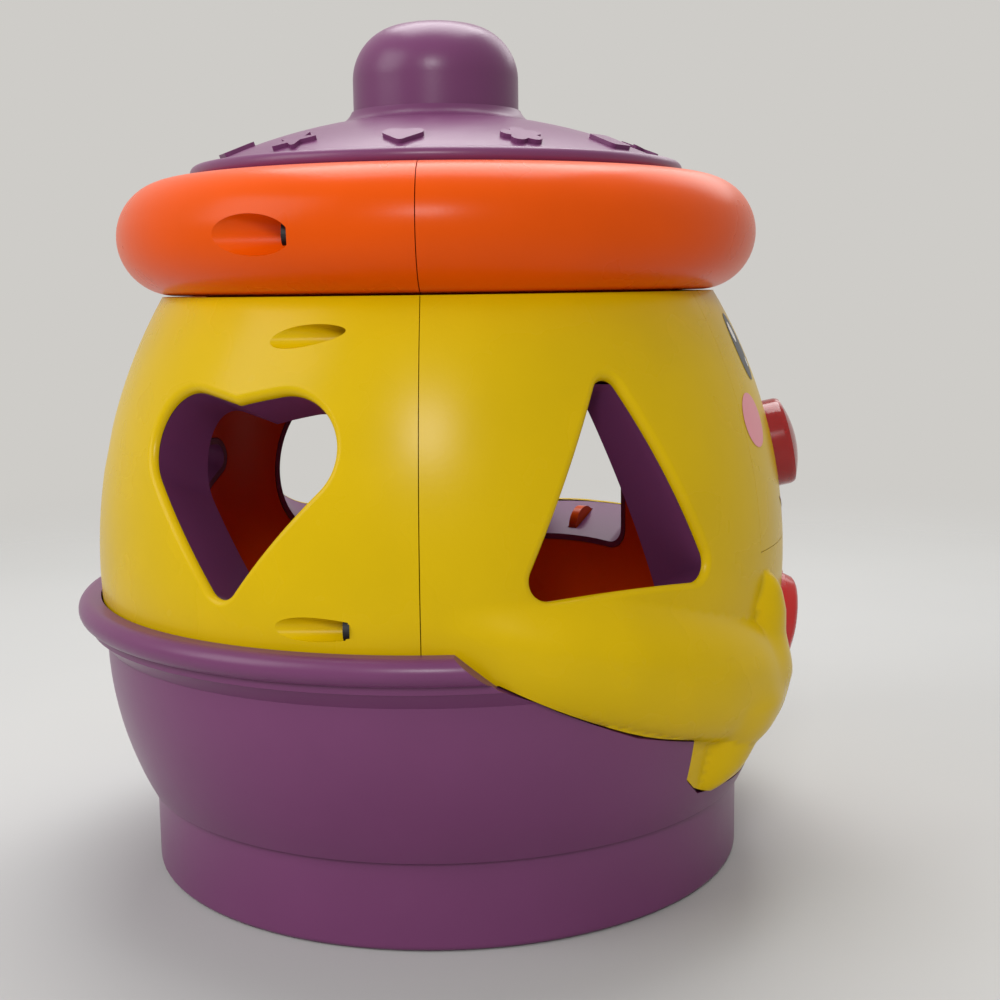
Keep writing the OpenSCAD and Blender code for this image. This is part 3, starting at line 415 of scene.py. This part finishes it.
def skirt(skin, loop, radius, depth):
    """Edge of a wall, square to the skin, along an open or closed row of (angle, height)."""
    phi, z = loop[:, 0], loop[:, 1]
    top, n = at(radius, phi, z), normals_at(radius, phi, z)
    low = top - n * depth
    side = np.gradient(top, axis=0)
    out = np.cross(side, n)
    skin.strip([top, low], [out, out], False)


def add_hole(skin, radius, place, outline, centre, lip, depth):
    """Round lip of an opening; gives the loop where it leaves the skin, as (angle, height)."""
    true = outline_points(outline)
    wide = true_offset(outline, true, lip)
    a0 = on_skin(place, wide, radius, centre)
    a1 = on_skin(place, true, radius, centre)
    p0, p1 = place(wide, a0), place(true, a1)
    down = place(true, a1 - depth) - p1
    phi, z = polar_near(p0, centre)
    n0 = normals_at(radius, phi, z)
    across = unit(p1 - p0)
    rows, normals = [], []
    for t in np.linspace(0, math.pi / 2, LIP_ROWS):
        rows.append(p0 + (p1 - p0) * math.sin(t) + down * (1 - math.cos(t)))
        normals.append(n0 * math.cos(t) + across * math.sin(t))
    skin.strip(rows, normals, True)
    return np.stack([phi, z], -1)


def true_offset(outline, true, lip):
    """The outline's own points moved out by the lip, one for one."""
    if len(outline) == 1:
        c = np.array(outline[0][:2])
        return c + (true - c) * (outline[0][2] + lip) / outline[0][2]
    before, after = np.roll(true, 1, axis=0), np.roll(true, -1, axis=0)
    d1, d2 = unit(true - before), unit(after - true)
    n1, n2 = np.stack([d1[:, 1], -d1[:, 0]], -1), np.stack([d2[:, 1], -d2[:, 0]], -1)
    return true + lip * (n1 + n2) / (1 + (n1 * n2).sum(1, keepdims=True))


def cover(skin, outer, holes, radius):
    """Fills a layout of (angle, height) with skin."""
    def flat(loop):
        return np.stack([loop[:, 0] * PER_DEGREE, loop[:, 1]], -1)

    points, tris = fill(flat(outer), [flat(h) for h in holes], SURFACE_STEP)
    phi, z = points[:, 0] / PER_DEGREE, points[:, 1]
    skin.patch(at(radius, phi, z), normals_at(radius, phi, z), tris)


# Materials


def srgb(r, g, b):
    def one(c):
        c /= 255
        return c / 12.92 if c <= 0.04045 else ((c + 0.055) / 1.055) ** 2.4

    return (one(r), one(g), one(b), 1.0)


DRIFT_SCALE, DRIFT_DETAIL, DRIFT_FROM, DRIFT_TO = 38, 3, 0.3, 0.7
GLOSS_LOW, GLOSS_HIGH = -0.04, 0.05
GRAIN_SCALE, GRAIN_DETAIL, GRAIN_DEPTH = 900, 2, 0.0004


def plastic(name, colour, rough, vary, grain, **sockets):
    """Moulded plastic: a faint drift of colour and gloss and a fine grain."""
    m = bpy.data.materials.new(name)
    m.use_nodes = True
    tree = m.node_tree
    shader = tree.nodes["Principled BSDF"]
    coord = tree.nodes.new("ShaderNodeTexCoord")
    drift = tree.nodes.new("ShaderNodeTexNoise")
    drift.inputs["Scale"].default_value = DRIFT_SCALE
    drift.inputs["Detail"].default_value = DRIFT_DETAIL
    tree.links.new(coord.outputs["Object"], drift.inputs["Vector"])
    ramp = tree.nodes.new("ShaderNodeValToRGB")
    base = srgb(*colour)
    ramp.color_ramp.elements[0].position = DRIFT_FROM
    ramp.color_ramp.elements[1].position = DRIFT_TO
    ramp.color_ramp.elements[0].color = [c * (1 - vary) for c in base[:3]] + [1]
    ramp.color_ramp.elements[1].color = [min(1, c * (1 + vary)) for c in base[:3]] + [1]
    tree.links.new(drift.outputs["Fac"], ramp.inputs["Fac"])
    tree.links.new(ramp.outputs["Color"], shader.inputs["Base Color"])
    gloss = tree.nodes.new("ShaderNodeMapRange")
    gloss.inputs["To Min"].default_value = rough + GLOSS_LOW
    gloss.inputs["To Max"].default_value = rough + GLOSS_HIGH
    tree.links.new(drift.outputs["Fac"], gloss.inputs["Value"])
    tree.links.new(gloss.outputs["Result"], shader.inputs["Roughness"])
    fine = tree.nodes.new("ShaderNodeTexNoise")
    fine.inputs["Scale"].default_value = GRAIN_SCALE
    fine.inputs["Detail"].default_value = GRAIN_DETAIL
    tree.links.new(coord.outputs["Object"], fine.inputs["Vector"])
    bump = tree.nodes.new("ShaderNodeBump")
    bump.inputs["Strength"].default_value = grain
    bump.inputs["Distance"].default_value = GRAIN_DEPTH
    tree.links.new(fine.outputs["Fac"], bump.inputs["Height"])
    tree.links.new(bump.outputs["Normal"], shader.inputs["Normal"])
    for key, value in sockets.items():
        shader.inputs[key.replace("_", " ")].default_value = value
    return m


# Name, colour, roughness, drift of colour, grain and the shader's other values
PLASTICS = [
    ("yellow_plastic", (216, 180, 0), 0.27, 0.03, 0.03, dict(Specular_IOR_Level=0.15)),
    ("orange_plastic", (228, 82, 0), 0.28, 0.03, 0.03, dict(Specular_IOR_Level=0.14)),
    ("purple_plastic", (114, 58, 102), 0.33, 0.03, 0.03, dict(Specular_IOR_Level=0.35)),
    ("red_clear_plastic", (178, 14, 12), 0.14, 0.04, 0.0, dict(Transmission_Weight=0.35, IOR=1.49)),
    ("red_plastic", (196, 24, 22), 0.2, 0.04, 0.01, {}),
    ("black_plastic", (40, 40, 43), 0.5, 0.06, 0.08, {}),
    # Steel is given a much darker colour than bare steel. This is painted shade, so that the screw heads at
    # the pocket ends read as the dark depth of the pockets.
    ("steel", (58, 58, 60), 0.6, 0.05, 0.03, dict(Metallic=1.0)),
    ("board", (34, 104, 58), 0.4, 0.08, 0.04, {}),
    ("components", (38, 38, 41), 0.45, 0.1, 0.05, {}),
    ("silicone", (220, 219, 212), 0.6, 0.04, 0.05, {}),
    ("lamp", (240, 234, 220), 0.15, 0.03, 0.0, dict(Transmission_Weight=0.4)),
    ("cell_can", (196, 150, 62), 0.3, 0.05, 0.02, dict(Metallic=0.8)),
    ("speaker_frame", (42, 42, 45), 0.5, 0.08, 0.1, {}),
    ("print_dark", (52, 54, 62), 0.4, 0.05, 0.0, {}),
    ("print_white", (244, 243, 238), 0.4, 0.02, 0.0, {}),
    ("print_pink", (232, 150, 160), 0.42, 0.04, 0.0, {}),
    ("print_line", (132, 58, 30), 0.42, 0.05, 0.0, {}),
]
MATERIALS = {row[0]: plastic(*row[:5], **row[5]) for row in PLASTICS}

for part in RECORD["subparts"]:
    node = NODES[part["node"]]
    node.data.materials.clear()
    node.data.materials.append(MATERIALS[part["material_slot"]])

# Body halves

CORNER_CUTS = 2  # rounds of corner cutting along the arms' lower edge


def rounded(line, times):
    """A row of (angle, height) with its corners cut, ends kept."""
    p = np.array(line, float)
    for _ in range(times):
        cut = [p[0]]
        for a, b in zip(p[:-1], p[1:]):
            cut += [a * 0.75 + b * 0.25, a * 0.25 + b * 0.75]
        p = np.array(cut + [p[-1]])
    return [tuple(c) for c in p.tolist()]


def spread(loop, step):
    flat = np.array(loop, float) * (PER_DEGREE, 1)
    return spaced(flat, step) / (PER_DEGREE, 1)


SEAM = 90 - math.degrees(SEAM_HALF / BODY_R)
FRONT_HOLES, REAR_HOLES = ("triangle", "square"), ("heart", "star", "circle")
front, rear = Skin(), Skin()

# The left half of the lower edge: seat, step up to the arm, arm, step down to the hand, hand
shoulder, arm_end = ARM_LINE[0][0], 5
lower = [(SEAM, SEAT_Z), (shoulder, SEAT_Z)]
lower += rounded(ARM_LINE[1:arm_end], CORNER_CUTS) + rounded(ARM_LINE[arm_end:], CORNER_CUTS)
lower += [(-p, z) for p, z in reversed(lower[:-1])]
upper = [
    (-SEAM, BODY_TOP_Z), (-FACE_HALF, BODY_TOP_Z), (-FACE_HALF, FACE_Z0), (FACE_HALF, FACE_Z0),
    (FACE_HALF, BODY_TOP_Z), (SEAM, BODY_TOP_Z),
]

front_edge = spread(lower + upper, EDGE_STEP)
front_holes = []
for key in FRONT_HOLES:
    angle, outline = HOLES[key]
    centre = angle if angle < 180 else angle - 360
    front_holes.append(add_hole(front, front_radius, hole_frame(angle), outline, centre, LIP, LIP_DEPTH))
front_holes.append(add_hole(front, front_radius, heart_frame, HEART_SHAPE, 0, BUTTON_LIP, BUTTON_LIP_DEPTH))
cover(front, front_edge, front_holes, front_radius)
skirt(front, np.vstack([front_edge, front_edge[:1]]), front_radius, WALL)
front.piece("body_front_skin", "jar", "yellow_plastic", ("body_shell_front",))

rear_edge = [(180 - SEAM, SEAT_Z), (180 + SEAM, SEAT_Z), (180 + SEAM, BODY_TOP_Z), (180 - SEAM, BODY_TOP_Z)]
rear_edge = spread(rear_edge, EDGE_STEP)
rear_holes = []
for key in REAR_HOLES:
    angle, outline = HOLES[key]
    rear_holes.append(add_hole(rear, rear_radius, hole_frame(angle), outline, angle, LIP, LIP_DEPTH))

# Screw pockets in the rear half, open to the back: x and z of the axis, radius, y of the floor
LOW_POCKET_Z, HIGH_POCKET_Z = 89.0, 160.3
POCKETS = [
    (BODY_R - 3.7, LOW_POCKET_Z, 3.05, 17.5),
    (float(body_at(HIGH_POCKET_Z)) - 5.4, HIGH_POCKET_Z, 3.05, 16.5),
]
POCKET_SIDES, POCKET_LEAST = 64, 0.05


def add_pocket(skin, x0, z0, r, floor_y, side):
    """Wall and floor of a screw pocket; gives its rim, as (angle, height)."""
    t = np.linspace(0, 2 * math.pi, POCKET_SIDES, endpoint=False)
    x, z = x0 + r * np.cos(t), z0 + r * np.sin(t)
    y = np.sqrt(np.maximum(body_at(z) ** 2 - x * x, 0))
    keep = y > floor_y + POCKET_LEAST
    whole = bool(keep.all())
    first = 0 if whole else int(np.argmax(keep & ~np.roll(keep, 1)))
    order = [(first + k) % len(t) for k in range(len(t)) if keep[(first + k) % len(t)]]
    x, y, z = side * x[order], y[order], z[order]
    rim = np.stack([x, y, z], -1)
    floor = np.stack([x, 0 * y + floor_y, z], -1)
    facing = np.stack([side * x0 - x, 0 * x, z0 - z], -1)
    skin.strip([rim, floor], [facing, facing], whole)
    n = len(floor)
    fan = np.array([(0, k + 1, (k + 1) % n + 1) for k in range(n if whole else n - 1)])
    skin.patch(np.vstack([floor.mean(0), floor]), np.tile((0.0, 1.0, 0.0), (n + 1, 1)), fan)
    phi, h = polar(rim)
    return np.stack([phi % 360, h], -1)


for pocket in POCKETS:
    for side in (-1, 1):
        rear_holes.append(add_pocket(rear, *pocket, side))
cover(rear, rear_edge, rear_holes, rear_radius)
skirt(rear, np.vstack([rear_edge, rear_edge[:1]]), rear_radius, WALL)
rear.piece("body_rear_skin", "jar", "yellow_plastic", ("body_shell_rear",))

# Heart button: a pillow that stands proud of the belly

ROUND, CROWN = 4.0, 0.3  # radius of the rim, and how far the middle stands above it
CROWN_REACH, CROWN_POWER = 12.0, 0.7
RIM_STEP = 1.0
RING_DEPTHS = (0.12, 0.4, 0.9, 1.6, 2.5, 3.5)  # rows of points that follow the round rim


def rim_distance(points, rim):
    """Distance of each point from a closed loop."""
    gap = np.full(len(points), np.inf)
    for a, b in zip(rim, np.roll(rim, -1, axis=0)):
        ab = b - a
        t = np.clip(((points - a) @ ab) / max(ab @ ab, TINY), 0, 1)
        gap = np.minimum(gap, np.linalg.norm(points - a - t[:, None] * ab, axis=1))
    return gap


def pillow(d):
    """Height of the button's face at a distance from its rim."""
    t = np.clip(d / ROUND, 0, 1)
    edge = ROUND * np.sqrt(np.maximum(1 - (1 - t) ** 2, 0))
    crown = CROWN * np.clip(d / CROWN_REACH, 0, 1) ** CROWN_POWER
    return HEART_RISE - CROWN - ROUND + edge + crown


heart = Skin()
rim = outline_points(HEART_SHAPE, 0, RIM_STEP)
rings = [outline_points(HEART_SHAPE, -d, RIM_STEP) for d in RING_DEPTHS]
flat, tris = fill(rim, [], SURFACE_STEP, np.vstack(rings))
top = heart_frame(flat, pillow(rim_distance(flat, rim)))
normal = np.zeros_like(top)
for t in tris:
    a, b, c = top[t]
    n = np.cross(b - a, c - a)
    normal[t] += n if n[1] < 0 else -n
heart.patch(top, normal, tris)
edge = heart_frame(rim, np.full(len(rim), float(pillow(np.array(0.0)))))
foot = heart_frame(rim, np.full(len(rim), -GUIDE_DEPTH))
away = np.gradient(np.vstack([rim[-1:], rim, rim[:1]]), axis=0)[1:-1]
away = np.stack([away[:, 1], -away[:, 0]], -1)
out = heart_frame(rim + away, np.zeros(len(rim))) - heart_frame(rim, np.zeros(len(rim)))
heart.strip([edge, foot], [out, out], True)
heart.piece("heart_pillow", "heart", "red_plastic", ("heart_button",))

# Printed face: plain ovals and a line, a hair above the face panel


PRINT_EDGE_STEP, PRINT_STEP = 0.8, 1.2
PRINT_LIFT, LIGHT_LIFT = 0.12, 0.2  # prints above the panel, and the eyes' lights above the eyes
OVAL_SIDES = 48
# Angles from the front in degrees, heights, half widths and half heights
EYE_ANGLE, CHEEK_ANGLE = 15.5, 23.6
EYE_OVAL, CHEEK_OVAL = (154, 6.4, 9.6), (134, 8.4, 7.6)
LIGHT_ANGLE, LIGHT_OVAL = 1.0, (158.2, 2.3, 2.9)
GLINT_ANGLE, GLINT_OVAL = -1.3, (149.4, 1.2, 1.4)
SMILE_ANGLE, SMILE_Z, SMILE_RISE, SMILE_HALF, SMILE_POINTS = 13.5, 104.5, 5.5, 0.85, 41
SMILE_TAPER = 1.06  # just over 1, so that the line's ends keep a little width


def print_patch(name, loop, slot, lift):
    def raised(phi, z):
        return rear_radius(phi, z) + lift

    skin = Skin()
    flat, tris = fill(spaced(loop, PRINT_EDGE_STEP), [], PRINT_STEP)
    phi, z = flat[:, 0] / PER_DEGREE, flat[:, 1]
    skin.patch(at(raised, phi, z), normals_at(raised, phi, z), tris)
    skin.piece(name, "jar", slot)


def oval(phi, z, w, h):
    t = np.arange(OVAL_SIDES) * 2 * math.pi / OVAL_SIDES
    return np.stack([phi * PER_DEGREE + w * np.cos(t), z + h * np.sin(t)], -1)


for side, label in ((1, "left"), (-1, "right")):
    eye = side * EYE_ANGLE
    print_patch(f"eye_{label}", oval(eye, *EYE_OVAL), "print_dark", PRINT_LIFT)
    print_patch(f"eye_light_{label}", oval(eye + LIGHT_ANGLE, *LIGHT_OVAL), "print_white", LIGHT_LIFT)
    print_patch(f"eye_glint_{label}", oval(eye + GLINT_ANGLE, *GLINT_OVAL), "print_white", LIGHT_LIFT)
    print_patch(f"cheek_{label}", oval(side * CHEEK_ANGLE, *CHEEK_OVAL), "print_pink", PRINT_LIFT)
along = np.linspace(-1, 1, SMILE_POINTS)
smile = np.stack([along * SMILE_ANGLE * PER_DEGREE, SMILE_Z + SMILE_RISE * along * along], -1)
across = unit(np.stack([-np.gradient(smile[:, 1]), np.gradient(smile[:, 0])], -1))
across *= SMILE_HALF * np.sqrt(np.clip(SMILE_TAPER - along**2, 0, 1))[:, None]
print_patch("smile", np.vstack([smile - across, (smile + across)[::-1]]), "print_line", PRINT_LIFT)

# Floor, background and light


FLOOR_DARK, FLOOR_PALE, FLOOR_ROUGH, FLOOR_SHINE, FLOOR_NOISE = (188, 188, 187), (194, 194, 193), 0.85, 0.1, 6
FADE_NEAR, FADE_FAR = 0.2, 0.95  # where the floor starts and ends to run out into the background
FLOOR_HALF, FLOOR_DROP = 2.0, 0.0002
BACKDROP, AMBIENT, AMBIENT_LEVEL = (206, 204, 200), (1.0, 0.985, 0.96, 1), 0.36


def floor_material():
    m = bpy.data.materials.new("floor")
    m.use_nodes = True
    tree = m.node_tree
    shader = tree.nodes["Principled BSDF"]
    shader.inputs["Roughness"].default_value = FLOOR_ROUGH
    shader.inputs["Specular IOR Level"].default_value = FLOOR_SHINE
    coord = tree.nodes.new("ShaderNodeTexCoord")
    noise = tree.nodes.new("ShaderNodeTexNoise")
    noise.inputs["Scale"].default_value = FLOOR_NOISE
    tree.links.new(coord.outputs["Object"], noise.inputs["Vector"])
    ramp = tree.nodes.new("ShaderNodeValToRGB")
    ramp.color_ramp.elements[0].color = srgb(*FLOOR_DARK)
    ramp.color_ramp.elements[1].color = srgb(*FLOOR_PALE)
    tree.links.new(noise.outputs["Fac"], ramp.inputs["Fac"])
    tree.links.new(ramp.outputs["Color"], shader.inputs["Base Color"])
    length = tree.nodes.new("ShaderNodeVectorMath")
    length.operation = "LENGTH"
    tree.links.new(coord.outputs["Object"], length.inputs[0])
    fade = tree.nodes.new("ShaderNodeMapRange")
    fade.interpolation_type = "SMOOTHSTEP"
    fade.inputs["From Min"].default_value = FADE_NEAR
    fade.inputs["From Max"].default_value = FADE_FAR
    fade.inputs["To Min"].default_value = 0.0
    fade.inputs["To Max"].default_value = 1.0
    tree.links.new(length.outputs["Value"], fade.inputs["Value"])
    clear = tree.nodes.new("ShaderNodeBsdfTransparent")
    mix = tree.nodes.new("ShaderNodeMixShader")
    tree.links.new(fade.outputs["Result"], mix.inputs[0])
    tree.links.new(shader.outputs[0], mix.inputs[1])
    tree.links.new(clear.outputs[0], mix.inputs[2])
    tree.links.new(mix.outputs[0], tree.nodes["Material Output"].inputs[0])
    return m


ground = bpy.data.meshes.new("ground")
corners = [(x * FLOOR_HALF, y * FLOOR_HALF, 0) for x, y in ((-1, -1), (1, -1), (1, 1), (-1, 1))]
ground.from_pydata(corners, [], [(0, 1, 2, 3)])
ground_obj = bpy.data.objects.new("ground", ground)
ground_obj.location = (0, 0, float(CAD_BOX[0].z) - FLOOR_DROP)
bpy.context.scene.collection.objects.link(ground_obj)
ground.materials.append(floor_material())

world = bpy.data.worlds.new("studio")
bpy.context.scene.world = world
world.use_nodes = True
tree = world.node_tree
ambient = tree.nodes["Background"]
ambient.inputs["Color"].default_value = AMBIENT
ambient.inputs["Strength"].default_value = AMBIENT_LEVEL
shown = tree.nodes.new("ShaderNodeBackground")
shown.inputs["Color"].default_value = srgb(*BACKDROP)
# The backdrop is what the camera, reflections and clear plastic see; the ambient lights the rest
rays = tree.nodes.new("ShaderNodeLightPath")
either = tree.nodes.new("ShaderNodeMath")
either.operation = "MAXIMUM"
third = tree.nodes.new("ShaderNodeMath")
third.operation = "MAXIMUM"
tree.links.new(rays.outputs["Is Camera Ray"], either.inputs[0])
tree.links.new(rays.outputs["Is Glossy Ray"], either.inputs[1])
tree.links.new(either.outputs[0], third.inputs[0])
tree.links.new(rays.outputs["Is Transmission Ray"], third.inputs[1])
mix = tree.nodes.new("ShaderNodeMixShader")
tree.links.new(third.outputs[0], mix.inputs[0])
tree.links.new(ambient.outputs[0], mix.inputs[1])
tree.links.new(shown.outputs[0], mix.inputs[2])
tree.links.new(mix.outputs[0], tree.nodes["World Output"].inputs[0])


# Name, place in metres, height that it aims at, side in metres, power in watts
LIGHTS = [
    ("key", (-1.05, 0.03, 0.66), 0.12, 0.24, 4.6),
    ("left", (-0.45, 0.95, 0.75), 0.12, 0.7, 5.5),
    ("top", (0.42, 0.0, 1.1), 0.1, 0.8, 10.5),
    ("far_side", (0.8, -0.5, 0.8), 0.12, 0.6, 2.0),
]


def softbox(name, place, aim_z, size, power):
    data = bpy.data.lights.new(name, "AREA")
    data.shape = "SQUARE"
    data.size = size
    data.energy = power
    obj = bpy.data.objects.new(name, data)
    obj.location = place
    obj.rotation_euler = (Vector((0, 0, aim_z)) - Vector(place)).to_track_quat("-Z", "Y").to_euler()
    bpy.context.scene.collection.objects.link(obj)


for light in LIGHTS:
    softbox(*light)

# Camera at the photograph's place

EYE = Vector((-0.4532, -0.0271, 0.17245))
LOOK = Vector((0.9893, 0.0207, -0.1447)).normalized()
ROLL = math.radians(0.755)
SENSOR, LENS, NEAREST = 36, 52.92, 0.01
right = LOOK.cross(Vector((0, 0, 1))).normalized()
up = right.cross(LOOK)
c, s = math.cos(ROLL), math.sin(ROLL)
right, up = right * c - up * s, up * c + right * s
camera = bpy.data.cameras.new("camera")
camera.sensor_width = SENSOR
camera.lens = LENS
camera.clip_start = NEAREST
camera_obj = bpy.data.objects.new("camera", camera)
camera_obj.matrix_world = Matrix((
    (right.x, up.x, -LOOK.x, EYE.x),
    (right.y, up.y, -LOOK.y, EYE.y),
    (right.z, up.z, -LOOK.z, EYE.z),
    (0, 0, 0, 1),
))
bpy.context.scene.collection.objects.link(camera_obj)
bpy.context.scene.camera = camera_obj
bpy.context.scene.view_settings.view_transform = "Standard"
